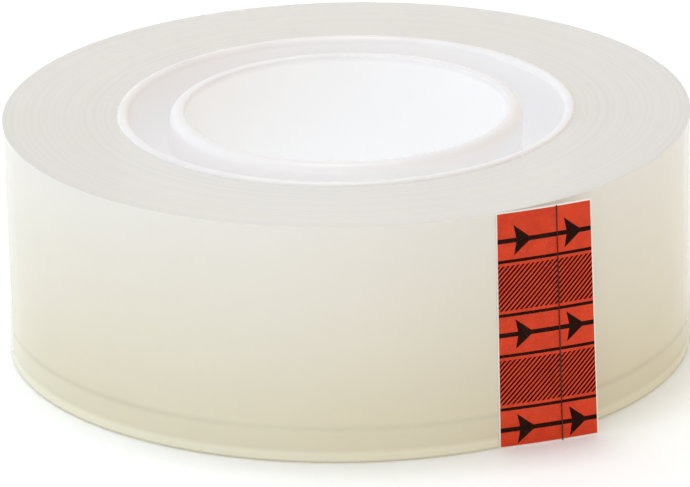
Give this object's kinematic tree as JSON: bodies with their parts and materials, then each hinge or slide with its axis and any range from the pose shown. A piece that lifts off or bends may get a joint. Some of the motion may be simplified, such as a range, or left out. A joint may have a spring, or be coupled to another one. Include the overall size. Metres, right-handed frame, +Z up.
{
  "type": "roll of adhesive tape",
  "caption": "Roll of clear adhesive tape on a white moulded core with a round bore, its free end lifted on a printed starter tab.",
  "frame": {"origin": "on the roll's axis, level with the lower edge of the tape, which the roll lies on", "axes": "+Z up along the roll's axis; -Y is the front, and the tape's free end leaves the roll 24.5 degrees from the front towards +X"},
  "size_m": [0.054, 0.054, 0.0192],
  "materials": {
    "core_plastic": "white moulded plastic, smooth satin, slightly milky",
    "wound_tape": "clear film wound into a milky, faintly yellow, smooth block",
    "tape_film": "thin clear glossy film",
    "printed_film": "red film printed with dark brown arrows and hatching"
  },
  "bodies": {
    "roll": {"core": "core_plastic", "tape_roll": "wound_tape"},
    "pull_tab": {"tape_end": "tape_film", "starter_tab": "printed_film"}
  },
  "joints": [
    {"name": "tab_lift", "type": "hinge", "parent": "roll", "child": "pull_tab", "pos_m": [0.0112, -0.02457, 0.0095], "axis": [0, 0, -1], "range_deg": [-8, 120], "stiffness_Nm_per_rad": 0.0018}
  ]
}
